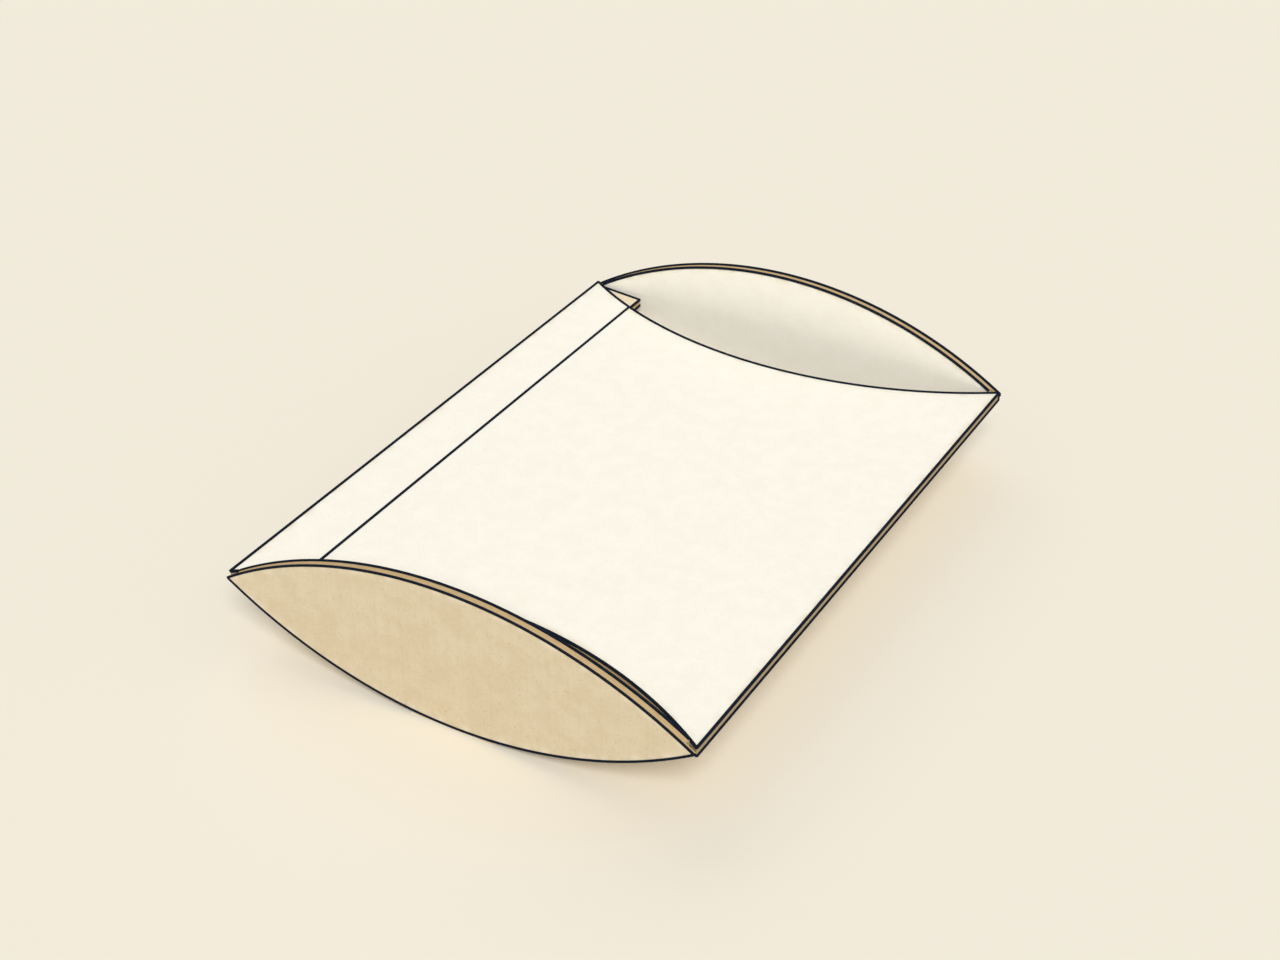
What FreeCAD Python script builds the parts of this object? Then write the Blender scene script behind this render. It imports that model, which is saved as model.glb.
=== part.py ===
import FreeCAD, Part
import math
import os

# Pillow box of lined board: a flat top panel over a bowed bottom panel, with a lens-shaped flap at each end.
# Millimetres. +X runs across the box, +Y along it and +Z up. The origin is on the table, under the middle.

# The whole box
box_width = 90.0        # across the box, from fold to fold and from tip to tip of a flap
panel_length = 120.0    # along the top panel, from corner to corner
corner_reach = 1.0      # by which the top panel's corners pass the cut ends of the bottom panel
flap_rise = 13.65       # from the line through a flap's tips to the crown of either of its arcs
table_gap = 0.35        # under the lower edge of a flap
flap_gap = 0.2          # between a flap and the sleeve
crease_length = 16.0    # the stretch of liner that a flap hangs on, at the crown of its lower arc

# The board
core_thickness = 1.2
liner_thickness = 0.2

# Notches in the ends of the top panel
notch_depth = 13.65     # from the line through the corners to the crown of the arc

# Side folds, glue flap and seam
fold_width = 3.0        # the strip of core that is crushed along a crease
glue_flap_reach = 11.2  # from the left fold's outer face to the glue flap's free edge
glue_flap_taper = 1.2   # by which each end of the free edge stops short
seam_gap = 0.2          # between the glue flap's free edge and the top panel
glue_thickness = 0.1
glue_margin = 1.5       # bare border round the glue film

# Levels and places worked out from the sizes above
board = core_thickness + 2 * liner_thickness
half_width = box_width / 2
half_panel = panel_length / 2
half_sleeve = half_panel - corner_reach
tip_height = table_gap + flap_rise
panel_under = tip_height - board / 2
panel_top = tip_height + board / 2
cover_under = panel_top - liner_thickness
glue_under = cover_under - glue_thickness
glue_flap_edge = glue_flap_reach - half_width
left_fold_edge = fold_width - half_width
right_fold_edge = half_width - fold_width
flap_face = half_sleeve + flap_gap
flap_back = flap_face + board


def point(x, y, z):
    return FreeCAD.Vector(x, y, z)


def line(start, end):
    return Part.LineSegment(start, end).toShape()


def arc(start, crown, end):
    return Part.Arc(start, crown, end).toShape()


def prism(edges, direction):
    """A closed outline, pushed along a direction."""
    return Part.Face(Part.Wire(edges)).extrude(direction)


def block(low, high):
    """A plain box between two corners."""
    size = high.sub(low)
    return Part.makeBox(size.x, size.y, size.z, low)


def arc_radius(half_chord, rise):
    return (half_chord ** 2 + rise ** 2) / (2 * rise)


def lengthwise_strip(x_low, x_high, z_low, z_high):
    """A strip between two lines along the box, as long as the top panel."""
    return block(point(x_low, -half_panel, z_low), point(x_high, half_panel, z_high))


def notched_sheet(z_low, z_high):
    """The outline of the top panel, with an inward arc at each end, from corner to corner."""
    notch_crown = half_panel - notch_depth
    near_left = point(-half_width, -half_panel, z_low)
    near_right = point(half_width, -half_panel, z_low)
    far_right = point(half_width, half_panel, z_low)
    far_left = point(-half_width, half_panel, z_low)
    edges = [arc(near_left, point(0, -notch_crown, z_low), near_right), line(near_right, far_right),
             arc(far_right, point(0, notch_crown, z_low), far_left), line(far_left, near_left)]
    return prism(edges, point(0, 0, z_high - z_low))


def tapered_sheet(z_low, z_high):
    """The left fold and the glue flap in one: its ends taper towards the free edge."""
    free = flap_face - glue_flap_taper
    corners = [point(-half_width, -flap_face, z_low), point(glue_flap_edge, -free, z_low),
               point(glue_flap_edge, free, z_low), point(-half_width, flap_face, z_low)]
    edges = [line(corners[index - 1], corner) for index, corner in enumerate(corners)]
    return prism(edges, point(0, 0, z_high - z_low))


def top_panel_layer(x_low, x_high, z_low, z_high):
    """A layer of the top panel between two lines along the box."""
    return notched_sheet(z_low, z_high).common(lengthwise_strip(x_low, x_high, z_low, z_high))


def glue_flap_layer(x_low, x_high, z_low, z_high):
    return tapered_sheet(z_low, z_high).common(lengthwise_strip(x_low, x_high, z_low, z_high))


def bowed_layer(outer_depth, inner_depth):
    """A layer of the bottom panel, between two depths below its outer face, cut level at the folds."""
    bow_radius = arc_radius(half_width, panel_under)
    centre_drop = bow_radius - panel_under
    outer_reach, inner_reach = (math.sqrt((bow_radius - depth) ** 2 - centre_drop ** 2)
                                for depth in (outer_depth, inner_depth))
    outer_left = point(-outer_reach, -half_sleeve, panel_under)
    outer_right = point(outer_reach, -half_sleeve, panel_under)
    inner_left = point(-inner_reach, -half_sleeve, panel_under)
    inner_right = point(inner_reach, -half_sleeve, panel_under)
    edges = [arc(outer_left, point(0, -half_sleeve, outer_depth), outer_right), line(outer_right, inner_right),
             arc(inner_right, point(0, -half_sleeve, inner_depth), inner_left), line(inner_left, outer_left)]
    return prism(edges, point(0, 2 * half_sleeve, 0))


def corner_reliefs(side):
    """Room in the inner side of a flap's tips for the corners of the top panel."""
    radius = arc_radius(half_width, notch_depth)
    past_crown = half_sleeve - (half_panel - notch_depth)
    start = math.sqrt(radius ** 2 - (radius - past_crown) ** 2) - flap_gap
    y_low, y_high = sorted((side * flap_face, side * (half_panel + flap_gap)))
    z_low, z_high = tip_height - flap_rise, tip_height + flap_rise
    right = block(point(start, y_low, z_low), point(half_width, y_high, z_high))
    left = block(point(-half_width, y_low, z_low), point(-start, y_high, z_high))
    return [left, right]


def flap_layer(side, depth, thickness):
    """A lens-shaped layer of an end flap, at a depth from its inner face. Side is -1 near, 1 far."""
    y = side * (flap_face + depth)
    left_tip = point(-half_width, y, tip_height)
    right_tip = point(half_width, y, tip_height)
    upper = arc(left_tip, point(0, y, tip_height + flap_rise), right_tip)
    lower = arc(right_tip, point(0, y, tip_height - flap_rise), left_tip)
    return prism([upper, lower], point(0, side * thickness, 0)).cut(corner_reliefs(side))


def crease(side):
    """The outer liner where it runs out under a flap: its round end is the line that the flap turns on."""
    x = -crease_length / 2
    root = side * half_sleeve
    turn = side * flap_back
    bend = side * (flap_back + liner_thickness / 2)
    under_root = point(x, root, 0)
    under_turn = point(x, turn, 0)
    over_turn = point(x, turn, liner_thickness)
    over_root = point(x, root, liner_thickness)
    edges = [line(under_root, under_turn), arc(under_turn, point(x, bend, liner_thickness / 2), over_turn),
             line(over_turn, over_root), line(over_root, under_root)]
    return prism(edges, point(crease_length, 0, 0))


def top_panel():
    core_start = glue_flap_edge + seam_gap
    liner_top = panel_under + liner_thickness
    return {
        "top_cover_sheet": notched_sheet(cover_under, panel_top),
        "top_panel_core": top_panel_layer(core_start, right_fold_edge, liner_top, cover_under),
        "top_panel_inner_liner": top_panel_layer(core_start, right_fold_edge, panel_under, liner_top),
    }


def bottom_panel():
    core_depth = liner_thickness + core_thickness
    return {
        "bottom_panel_outer_liner": bowed_layer(0, liner_thickness),
        "bottom_panel_core": bowed_layer(liner_thickness, core_depth),
        "bottom_panel_inner_liner": bowed_layer(core_depth, board),
    }


def glue_flap():
    liner_top = panel_under + liner_thickness
    liner_under = glue_under - liner_thickness
    return {
        "glue_flap_outer_liner": glue_flap_layer(left_fold_edge, glue_flap_edge, liner_under, glue_under),
        "glue_flap_core": glue_flap_layer(left_fold_edge, glue_flap_edge, liner_top, liner_under),
        "glue_flap_inner_liner": glue_flap_layer(left_fold_edge, glue_flap_edge, panel_under, liner_top),
    }


def seam_glue():
    film_half_length = half_panel - notch_depth - glue_margin
    low = point(left_fold_edge + glue_margin, -film_half_length, glue_under)
    high = point(glue_flap_edge - glue_margin, film_half_length, cover_under)
    return {"seam_glue": block(low, high)}


def side_folds():
    """The left fold has the ends of the glue flap and the corners of the top panel."""
    left_span = (-half_width, left_fold_edge, panel_under, cover_under)
    right_span = (right_fold_edge, half_width, panel_under, cover_under)
    return {
        "left_fold": glue_flap_layer(*left_span).fuse(top_panel_layer(*left_span)).removeSplitter(),
        "right_fold": top_panel_layer(*right_span),
    }


def end_flap(name, side):
    core_depth = liner_thickness + core_thickness
    return {
        name + "_inner_liner": flap_layer(side, 0, liner_thickness),
        name + "_core": flap_layer(side, liner_thickness, core_thickness),
        name + "_outer_liner": flap_layer(side, core_depth, liner_thickness),
    }


pieces = {}
pieces.update(top_panel())
pieces.update(bottom_panel())
pieces.update(glue_flap())
pieces.update(seam_glue())
pieces.update(side_folds())
for end, side in (("near", -1), ("far", 1)):
    pieces[end + "_crease"] = crease(side)
    pieces.update(end_flap(end + "_flap", side))

os.makedirs("parts", exist_ok=True)
for name, shape in pieces.items():
    shape.exportStep("parts/" + name + ".step")
    print(name, "solids", len(shape.Solids), "volume", round(shape.Volume, 3), "valid", shape.isValid())
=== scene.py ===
import math
from collections import namedtuple

import bpy
from mathutils import Color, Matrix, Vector


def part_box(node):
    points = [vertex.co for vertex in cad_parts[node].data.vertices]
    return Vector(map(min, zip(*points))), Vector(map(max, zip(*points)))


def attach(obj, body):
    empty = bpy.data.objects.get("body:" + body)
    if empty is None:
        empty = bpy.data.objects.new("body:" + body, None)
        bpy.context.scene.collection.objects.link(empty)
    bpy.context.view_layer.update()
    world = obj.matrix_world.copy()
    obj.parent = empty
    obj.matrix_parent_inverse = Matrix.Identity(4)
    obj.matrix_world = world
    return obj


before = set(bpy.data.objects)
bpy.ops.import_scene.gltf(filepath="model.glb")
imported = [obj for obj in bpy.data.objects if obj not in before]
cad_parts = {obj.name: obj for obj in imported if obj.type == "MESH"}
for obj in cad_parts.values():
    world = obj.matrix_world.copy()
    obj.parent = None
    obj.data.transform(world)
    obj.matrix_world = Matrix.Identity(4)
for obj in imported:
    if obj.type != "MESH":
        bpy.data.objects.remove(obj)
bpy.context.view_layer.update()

# Metres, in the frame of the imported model: +X across the box, +Y along it, +Z up.
MM = 0.001

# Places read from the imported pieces. The near flap mirrors the far one.
panel_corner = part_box("top_cover_sheet")[1]
half_width = panel_corner.x
half_panel = panel_corner.y
panel_top = panel_corner.z
panel_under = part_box("right_fold")[0].z
board = panel_top - panel_under
panel_core_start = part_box("top_panel_core")[0].x
glue_flap_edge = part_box("glue_flap_core")[1].x
glue_flap_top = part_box("glue_flap_outer_liner")[1].z
half_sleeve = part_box("bottom_panel_core")[1].y
flap_low, flap_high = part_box("far_flap_core")
flap_middle = (flap_low.z + flap_high.z) / 2
flap_rise = (flap_high.z - flap_low.z) / 2
flap_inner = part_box("far_flap_inner_liner")[0].y
flap_inner_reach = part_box("far_flap_inner_liner")[1].x
flap_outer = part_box("far_flap_outer_liner")[1].y

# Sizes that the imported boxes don't give
notch_depth = 13.65 * MM
glue_flap_taper = 1.2 * MM

# Radii of the ink lines along the edges. A line that is further from the camera, or half hidden by an edge,
# is broader, so that all of them look alike.
fine_ink = 0.23 * MM
broad_ink = 0.28 * MM
broadest_ink = 0.34 * MM
ink_roundness = 2                   # bevel steps, which give a line 8 sides
arc_steps = 96                      # straight stretches in a line along an arc

# What describes a paper, a noise, a surface and a light. Colours are sRGB from 0 to 255. The sizes of a
# noise's marks are in millimetres along X, Y and Z. A light's level is its share of the light on the floor.
Paper = namedtuple("Paper", "light deep fibre rub fibre_strength rib_strength fleck_strength")
Noise = namedtuple("Noise", "size detail waviness")
Surface = namedtuple("Surface", "roughness grain_roughness specular bump bump_depth")
Light = namedtuple("Light", "towards level spread")

# Papers
cream = Paper(light=(253, 249, 236), deep=(251, 246, 232), fibre=(243, 234, 213), rub=(238, 228, 205),
              fibre_strength=0.3, rib_strength=0.0, fleck_strength=0.0)
kraft = Paper(light=(218, 203, 174), deep=(213, 197, 166), fibre=(198, 176, 136), rub=(228, 217, 193),
              fibre_strength=0.45, rib_strength=0.12, fleck_strength=0.4)
# A lighter copy of kraft for the glue flap's upward face: painted light, as if that face caught more light
# from above
painted_lit_kraft = Paper(light=(237, 224, 196), deep=(233, 219, 189), fibre=(221, 201, 163), rub=(241, 231, 210),
                   fibre_strength=0.45, rib_strength=0.12, fleck_strength=0.3)

# Marks in the papers. A range is the stretch of a noise over which its marks come up.
FLECK = (168, 134, 90)
paper_clouds = Noise(size=(3.5, 3.5, 3.5), detail=4.0, waviness=0.0)
cloud_range = (0.3, 0.7)
loose_fibres = Noise(size=(1.9, 0.16, 1.0), detail=1.0, waviness=0.4)
fibre_turns = (14.0, 71.0, 128.0)   # degrees, in the plane of the sheet
fibre_range = (0.58, 0.74)
fibre_height = 0.6                  # where the grain's is 1
paper_grain = Noise(size=(0.22, 0.22, 0.22), detail=3.0, waviness=0.0)
rib_lines = Noise(size=(0.55, 40.0, 1.0), detail=2.0, waviness=0.0)
rib_range = (0.35, 0.75)
fleck_density = 0.42                # cells along a millimetre, each with a fleck
fleck_raggedness = 0.16
fleck_range = (0.12, 0.17)
wear_width = 1.8                    # millimetres from an edge
wear_patches = Noise(size=(2.4, 2.4, 2.4), detail=4.0, waviness=0.0)
wear_range = (0.38, 0.68)
paper_surface = Surface(roughness=0.72, grain_roughness=0.22, specular=0.2, bump=0.35, bump_depth=0.03 * MM)

# Cut board
CORE = (209, 181, 135)
CORE_DEEP = (190, 161, 116)
# A darker copy of the core for the folds' cut edges: painted shade, for the side that faces away from the
# light
SHADED_CORE = (185, 164, 130)
SHADED_CORE_DEEP = (168, 146, 112)
PORE = (150, 120, 82)
flat_layers = Noise(size=(1.6, 1.6, 0.13), detail=3.0, waviness=0.3)
upright_layers = Noise(size=(1.6, 0.13, 1.6), detail=3.0, waviness=0.3)
layer_range = (0.3, 0.72)
board_grain = Noise(size=(0.2, 0.2, 0.2), detail=3.0, waviness=0.0)
board_grain_height = 0.7            # where the layers' is 1
pore_range = (0.28, 0.4)
pore_strength = 0.6
board_surface = Surface(roughness=0.78, grain_roughness=0.2, specular=0.15, bump=0.5, bump_depth=0.06 * MM)

# Dried glue
GLUE = (222, 207, 170)
GLUE_DEEP = (201, 182, 138)
glue_strokes = Noise(size=(0.5, 14.0, 1.0), detail=3.0, waviness=0.0)
glue_surface = Surface(roughness=0.3, grain_roughness=0.25, specular=0.5, bump=0.4, bump_depth=0.03 * MM)

# Ink
INK = (15, 24, 38)
INK_THIN = (29, 38, 53)
ink_cover = Noise(size=(0.8, 0.8, 0.8), detail=4.0, waviness=0.0)
thin_range = (0.5, 0.8)
ink_grain = Noise(size=(0.12, 0.12, 0.12), detail=2.0, waviness=0.0)
ink_surface = Surface(roughness=0.65, grain_roughness=0.25, specular=0.06, bump=0.3, bump_depth=0.02 * MM)

# Floor and light. The three levels of light add up to 1, and spreads are in degrees.
FLOOR = (242, 235, 219)
WHITE = (255, 255, 255)
floor_reach = 10.0
floor_drop = 0.05 * MM              # under the lowest point of the box
floor_roughness = 0.9
floor_specular = 0.0
even_level = 0.40
front_light = Light(towards=(0.60, -0.82, 1.00), level=0.53, spread=26.0)
back_light = Light(towards=(-0.70, 0.60, 0.80), level=0.07, spread=40.0)

# Camera, at the photograph's viewing angle
camera_place = (158.080 * MM, -270.888 * MM, 220.905 * MM)
camera_tilt = 56.58655              # degrees up from straight down
camera_turn = 30.24831              # degrees about Z
camera_lens = 58.458                # focal length and sensor width, in millimetres
camera_sensor = 36.0
camera_near = 10 * MM               # nothing closer is drawn


def linear(colour):
    """An sRGB colour as the linear RGBA that shaders take."""
    shares = [value / full for value, full in zip(colour, WHITE)]
    return (*Color(shares).from_srgb_to_scene_linear(), 1.0)


class Shader:
    """A material whose nodes are made one step at a time, each step giving back one output."""

    def __init__(self, name):
        self.material = bpy.data.materials.new(name)
        self.material.use_nodes = True
        self.tree = self.material.node_tree
        self.principled = self.tree.nodes["Principled BSDF"]

    def step(self, kind, inputs, output=0, **settings):
        """A new node. Each input is a fixed value or the output of an earlier step."""
        node = self.tree.nodes.new(kind)
        for name, value in settings.items():
            setattr(node, name, value)
        for key, value in inputs.items():
            if isinstance(value, bpy.types.NodeSocket):
                self.tree.links.new(value, node.inputs[key])
            else:
                node.inputs[key].default_value = value
        return node.outputs[output]

    def math(self, operation, *values):
        return self.step("ShaderNodeMath", dict(enumerate(values)), operation=operation)

    def inverse(self, value):
        """1 where the value is 0, and 0 where it is 1."""
        return self.math("SUBTRACT", 1.0, value)

    def diagonal(self, first, second):
        """The diagonal of a rectangle with these sides."""
        squares = [self.math("MULTIPLY", side, side) for side in (first, second)]
        return self.math("SQRT", self.math("ADD", *squares))

    def ramp(self, value, low, high):
        """0 at low, 1 at high, and smooth between them."""
        inputs = {"Value": value, "From Min": low, "From Max": high}
        return self.step("ShaderNodeMapRange", inputs, interpolation_type="SMOOTHSTEP")

    def mix(self, factor, first, second):
        """From one colour to another. On a Mix node these are inputs 6 and 7, and output 2 is the result."""
        inputs = {0: factor, 6: first, 7: second}
        return self.step("ShaderNodeMix", inputs, output=2, data_type="RGBA")

    def paint(self, colour, marks, strength, mark_colour):
        """The colour so far, with marks of another colour over it."""
        return self.mix(self.math("MULTIPLY", marks, strength), colour, linear(mark_colour))

    def millimetres(self):
        """Where a point lies on its piece at rest, in millimetres."""
        place = self.step("ShaderNodeTexCoord", {}, output="Object")
        return self.step("ShaderNodeVectorMath", {0: place, "Scale": 1 / MM}, operation="SCALE")

    def axes(self, vector):
        """The X, Y and Z of a vector."""
        return self.step("ShaderNodeSeparateXYZ", {"Vector": vector}).node.outputs

    def noise(self, place, kind, turn=0.0):
        """Soft noise from 0 to 1, with its marks turned by some degrees about Z."""
        mapping = {"Vector": place, "Rotation": (0.0, 0.0, math.radians(turn)), "Scale": kind.size}
        scaled = self.step("ShaderNodeMapping", mapping, vector_type="TEXTURE")
        inputs = {"Vector": scaled, "Scale": 1.0, "Detail": kind.detail, "Distortion": kind.waviness}
        return self.step("ShaderNodeTexNoise", inputs)

    def finish(self, colour, grain, height, surface):
        """The whole material. Its roughness follows the grain, and its bumps follow the height."""
        added = self.math("MULTIPLY", grain, surface.grain_roughness)
        roughness = self.math("ADD", surface.roughness, added)
        bump = {"Strength": surface.bump, "Distance": surface.bump_depth, "Height": height}
        normal = self.step("ShaderNodeBump", bump)
        for name, output in (("Base Color", colour), ("Roughness", roughness), ("Normal", normal)):
            self.tree.links.new(output, self.principled.inputs[name])
        self.principled.inputs["Specular IOR Level"].default_value = surface.specular
        return self.material


# How far a point is from the nearest edge of its sheet, in millimetres

def circle_radius(half_chord, rise):
    return (half_chord ** 2 + rise ** 2) / (2 * rise)


def panel_edge_distance(shader, place):
    """For the top panel: from its long sides and from the arcs of its notches."""
    x, y, _ = shader.axes(place)
    radius = circle_radius(half_width, notch_depth) / MM
    centre = (half_panel - notch_depth) / MM + radius
    from_side = shader.math("SUBTRACT", half_width / MM, shader.math("ABSOLUTE", x))
    from_centre = shader.math("SUBTRACT", centre, shader.math("ABSOLUTE", y))
    from_arc = shader.math("SUBTRACT", shader.diagonal(x, from_centre), radius)
    return shader.math("MINIMUM", from_side, from_arc)


def flap_edge_distance(shader, place):
    """For an end flap: from the two arcs of its lens."""
    x, _, z = shader.axes(place)
    radius = circle_radius(half_width, flap_rise) / MM
    from_middle = shader.math("ABSOLUTE", shader.math("SUBTRACT", z, flap_middle / MM))
    from_centre = shader.math("ADD", from_middle, radius - flap_rise / MM)
    return shader.math("SUBTRACT", radius, shader.diagonal(x, from_centre))


def end_edge_distance(shader, place):
    """For the bottom panel and the glue flap: from their cut ends."""
    _, y, _ = shader.axes(place)
    return shader.math("SUBTRACT", half_sleeve / MM, shader.math("ABSOLUTE", y))


# Materials

def paper(name, stock, edge_distance, upright=False):
    """Uncoated paper: cloudy formation, loose fibres three ways, grain, ribs, flecks and rubbed edges."""
    shader = Shader(name)
    place = shader.millimetres()
    x, y, z = shader.axes(place)
    along, through = (z, y) if upright else (y, z)
    face = shader.step("ShaderNodeCombineXYZ", {"X": x, "Y": along, "Z": through})
    grain = shader.noise(face, paper_grain)
    clouds = shader.ramp(shader.noise(face, paper_clouds), *cloud_range)
    colour = shader.mix(clouds, linear(stock.light), linear(stock.deep))
    fibres = 0.0
    for turn in fibre_turns:
        streaks = shader.ramp(shader.noise(face, loose_fibres, turn), *fibre_range)
        fibres = shader.math("MAXIMUM", fibres, streaks)
    colour = shader.paint(colour, fibres, stock.fibre_strength, stock.fibre)
    if stock.rib_strength:
        ribs = shader.ramp(shader.noise(face, rib_lines), *rib_range)
        colour = shader.paint(colour, ribs, stock.rib_strength, stock.fibre)
    if stock.fleck_strength:
        cells = shader.step("ShaderNodeTexVoronoi", {"Vector": face, "Scale": fleck_density})
        ragged = shader.math("ADD", cells, shader.math("MULTIPLY", grain, fleck_raggedness))
        flecks = shader.inverse(shader.ramp(ragged, *fleck_range))
        colour = shader.paint(colour, flecks, stock.fleck_strength, FLECK)
    wear = shader.inverse(shader.ramp(edge_distance(shader, place), 0.0, wear_width))
    patches = shader.ramp(shader.noise(face, wear_patches), *wear_range)
    colour = shader.paint(colour, wear, patches, stock.rub)
    height = shader.math("ADD", shader.math("MULTIPLY", fibres, fibre_height), grain)
    return shader.finish(colour, grain, height, paper_surface)


def board_core(name, light, deep, layering):
    """Cut board seen on edge: pressed layers, pores and loose fibre."""
    shader = Shader(name)
    place = shader.millimetres()
    layers = shader.noise(place, layering)
    grain = shader.noise(place, board_grain)
    colour = shader.mix(shader.ramp(layers, *layer_range), linear(light), linear(deep))
    pores = shader.inverse(shader.ramp(grain, *pore_range))
    colour = shader.paint(colour, pores, pore_strength, PORE)
    height = shader.math("ADD", layers, shader.math("MULTIPLY", grain, board_grain_height))
    return shader.finish(colour, grain, height, board_surface)


def dried_glue():
    """A brushed film of paper glue, a little glossy."""
    shader = Shader("dried_glue")
    strokes = shader.noise(shader.millimetres(), glue_strokes)
    colour = shader.mix(strokes, linear(GLUE), linear(GLUE_DEEP))
    return shader.finish(colour, strokes, strokes, glue_surface)


def ink():
    """Dark ink, thinner here and there where the board took less of it."""
    shader = Shader("edge_ink")
    place = shader.millimetres()
    thin = shader.ramp(shader.noise(place, ink_cover), *thin_range)
    colour = shader.mix(thin, linear(INK), linear(INK_THIN))
    grain = shader.noise(place, ink_grain)
    return shader.finish(colour, grain, grain, ink_surface)


def floor_paper():
    """The pale sheet that the box stands on."""
    shader = Shader("floor")
    inputs = shader.principled.inputs
    inputs["Base Color"].default_value = linear(FLOOR)
    inputs["Roughness"].default_value = floor_roughness
    inputs["Specular IOR Level"].default_value = floor_specular
    return shader.material


def dress(material, *nodes):
    """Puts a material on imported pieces."""
    for name in nodes:
        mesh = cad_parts[name].data
        mesh.materials.clear()
        mesh.materials.append(material)


dress(paper("cream_top", cream, panel_edge_distance), "top_cover_sheet", "top_panel_inner_liner")
dress(paper("cream_inside", cream, end_edge_distance), "bottom_panel_inner_liner", "glue_flap_inner_liner")
dress(paper("cream_flap", cream, flap_edge_distance, upright=True),
      "near_flap_inner_liner", "far_flap_inner_liner")
dress(paper("kraft_flap", kraft, flap_edge_distance, upright=True),
      "near_flap_outer_liner", "far_flap_outer_liner")
dress(paper("kraft_outside", kraft, end_edge_distance),
      "bottom_panel_outer_liner", "near_crease", "far_crease")
# The glue flap's outer liner takes the lighter kraft copy: painted light on its upward face
dress(paper("kraft_painted_lit", painted_lit_kraft, end_edge_distance), "glue_flap_outer_liner")
dress(board_core("core_flat", CORE, CORE_DEEP, flat_layers),
      "top_panel_core", "glue_flap_core", "bottom_panel_core")
# Both folds take the darker core copy: painted shade on their cut edges
dress(board_core("core_painted_shade", SHADED_CORE, SHADED_CORE_DEEP, flat_layers), "left_fold", "right_fold")
dress(board_core("core_upright", CORE, CORE_DEEP, upright_layers), "near_flap_core", "far_flap_core")
dress(dried_glue(), "seam_glue")
edge_ink = ink()


# Ink lines

def arc_profile(half_chord, rise, start, end):
    """Points (along, height) of a circular arc over a chord, from one place along it to another."""
    radius = circle_radius(half_chord, rise)
    first, last = math.asin(start / radius), math.asin(end / radius)
    points = []
    for index in range(arc_steps + 1):
        angle = first + (last - first) * index / arc_steps
        points.append((radius * math.sin(angle), radius * math.cos(angle) - radius + rise))
    return points


def panel_reach(x):
    """How far the top panel reaches along the box from its middle, at a place across it."""
    radius = circle_radius(half_width, notch_depth)
    return half_panel - notch_depth + radius - math.sqrt(radius ** 2 - x ** 2)


def ink_lines(name, body, paths, radius):
    """One piece of thin round lines, one line for each path."""
    curve = bpy.data.curves.new(name, "CURVE")
    curve.dimensions = "3D"
    curve.bevel_depth = radius
    curve.bevel_resolution = ink_roundness
    curve.use_fill_caps = True
    for path in paths:
        spline = curve.splines.new("POLY")
        spline.points.add(len(path) - 1)
        for point, place in zip(spline.points, path):
            point.co = (*place, 1.0)
    curve.materials.append(edge_ink)
    lines = bpy.data.objects.new(name, curve)
    bpy.context.scene.collection.objects.link(lines)
    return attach(lines, body)


def top_panel_lines():
    """The long sides, the corners at the far end and the arcs of the notches."""
    paths = []
    for x in (-half_width, half_width):
        for z in (panel_under, panel_top):
            paths.append([(x, -half_panel, z), (x, half_panel, z)])
        paths.append([(x, half_panel, panel_under), (x, half_panel, panel_top)])
    for side in (-1, 1):
        for z, start in ((panel_top, -half_width), (panel_under, panel_core_start)):
            paths.append([(x, side * (half_panel - depth), z)
                          for x, depth in arc_profile(half_width, notch_depth, start, half_width)])
    return paths


def glue_flap_lines():
    """The tapered ends, and the free edge where it shows past the top panel."""
    free_end = flap_inner - glue_flap_taper
    shown_from = panel_reach(glue_flap_edge)
    paths = []
    for side in (-1, 1):
        for z in (panel_under, glue_flap_top):
            free_corner = (glue_flap_edge, side * free_end, z)
            paths.append([(-half_width, side * flap_inner, z), free_corner])
            paths.append([(glue_flap_edge, side * shown_from, z), free_corner])
    return paths


def seam_lines():
    """The line on the top panel over the glue flap's free edge."""
    reach = panel_reach(glue_flap_edge)
    return [[(glue_flap_edge, -reach, panel_top), (glue_flap_edge, reach, panel_top)]]


def bottom_panel_lines():
    """The arcs at both ends. The lower line lies inside the edge, so that it stays above the table."""
    outer = circle_radius(half_width, panel_under)
    paths = []
    for side in (-1, 1):
        for depth in (fine_ink, board):
            radius = outer - depth
            span = math.sqrt(radius ** 2 - (outer - panel_under) ** 2)
            paths.append([(x, side * half_sleeve, panel_under - height)
                          for x, height in arc_profile(span, panel_under - depth, -span, span)])
    return paths


def flap_face_lines(y, reach):
    """The two arcs of one face of a flap, as far as the face reaches towards its tips."""
    profile = arc_profile(half_width, flap_rise, -reach, reach)
    return [[(x, y, flap_middle + up * height) for x, height in profile] for up in (-1, 1)]


ink_lines("top_panel_ink", "sleeve", top_panel_lines(), broad_ink)
ink_lines("glue_flap_ink", "sleeve", glue_flap_lines(), broad_ink)
ink_lines("seam_ink", "sleeve", seam_lines(), broad_ink)
ink_lines("bottom_panel_ink", "sleeve", bottom_panel_lines(), fine_ink)
ink_lines("near_flap_outer_ink", "near_flap", flap_face_lines(-flap_outer, half_width), fine_ink)
ink_lines("near_flap_inner_ink", "near_flap", flap_face_lines(-flap_inner, flap_inner_reach), broad_ink)
ink_lines("far_flap_outer_ink", "far_flap", flap_face_lines(flap_outer, half_width), broadest_ink)
ink_lines("far_flap_inner_ink", "far_flap", flap_face_lines(flap_inner, flap_inner_reach), broad_ink)


# Floor, light and camera

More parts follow.
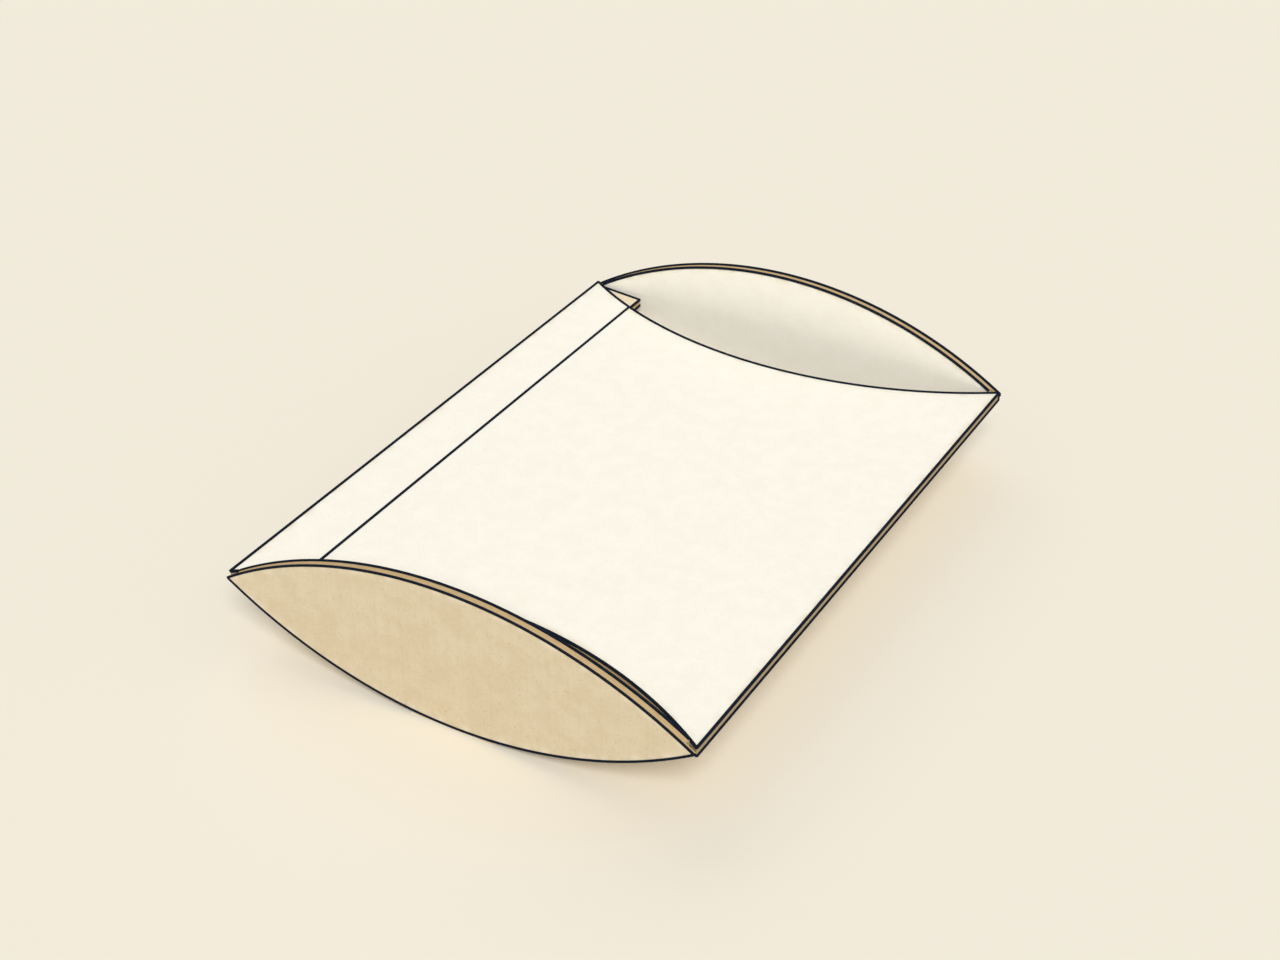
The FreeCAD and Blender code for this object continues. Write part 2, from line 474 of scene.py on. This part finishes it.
def make_floor():
    """A wide flat sheet just under the box."""
    corners = [(-floor_reach, -floor_reach, -floor_drop), (floor_reach, -floor_reach, -floor_drop),
               (floor_reach, floor_reach, -floor_drop), (-floor_reach, floor_reach, -floor_drop)]
    mesh = bpy.data.meshes.new("floor")
    mesh.from_pydata(corners, [], [(0, 1, 2, 3)])
    mesh.materials.append(floor_paper())
    floor = bpy.data.objects.new("floor", mesh)
    bpy.context.scene.collection.objects.link(floor)


def make_world():
    """Even white light from all round. The camera and reflections see the floor's colour instead."""
    world = bpy.data.worlds.new("studio")
    world.use_nodes = True
    bpy.context.scene.world = world
    tree = world.node_tree
    light = tree.nodes["Background"]
    light.inputs["Color"].default_value = linear(WHITE)
    light.inputs["Strength"].default_value = even_level
    backdrop = tree.nodes.new("ShaderNodeBackground")
    backdrop.inputs["Color"].default_value = linear(FLOOR)
    rays = tree.nodes.new("ShaderNodeLightPath")
    seen = rays.outputs["Is Camera Ray"]
    for name in ("Is Glossy Ray", "Is Transmission Ray"):
        either = tree.nodes.new("ShaderNodeMath")
        either.operation = "MAXIMUM"
        tree.links.new(seen, either.inputs[0])
        tree.links.new(rays.outputs[name], either.inputs[1])
        seen = either.outputs[0]
    choose = tree.nodes.new("ShaderNodeMixShader")
    tree.links.new(seen, choose.inputs[0])
    tree.links.new(light.outputs[0], choose.inputs[1])
    tree.links.new(backdrop.outputs[0], choose.inputs[2])
    tree.links.new(choose.outputs[0], tree.nodes["World Output"].inputs["Surface"])


def make_soft_light(name, kind):
    """A wide distant light."""
    direction = Vector(kind.towards).normalized()
    lamp = bpy.data.lights.new(name, "SUN")
    lamp.energy = kind.level * math.pi / direction.z
    lamp.angle = math.radians(kind.spread)
    light = bpy.data.objects.new(name, lamp)
    light.rotation_euler = direction.to_track_quat("Z", "Y").to_euler()
    bpy.context.scene.collection.objects.link(light)


def make_camera():
    camera_data = bpy.data.cameras.new("camera")
    camera_data.lens = camera_lens
    camera_data.sensor_width = camera_sensor
    camera_data.clip_start = camera_near
    camera = bpy.data.objects.new("camera", camera_data)
    camera.location = camera_place
    camera.rotation_euler = (math.radians(camera_tilt), 0.0, math.radians(camera_turn))
    bpy.context.scene.collection.objects.link(camera)
    bpy.context.scene.camera = camera


make_floor()
make_world()
make_soft_light("front_light", front_light)
make_soft_light("back_light", back_light)
make_camera()
bpy.context.scene.view_settings.view_transform = "Standard"
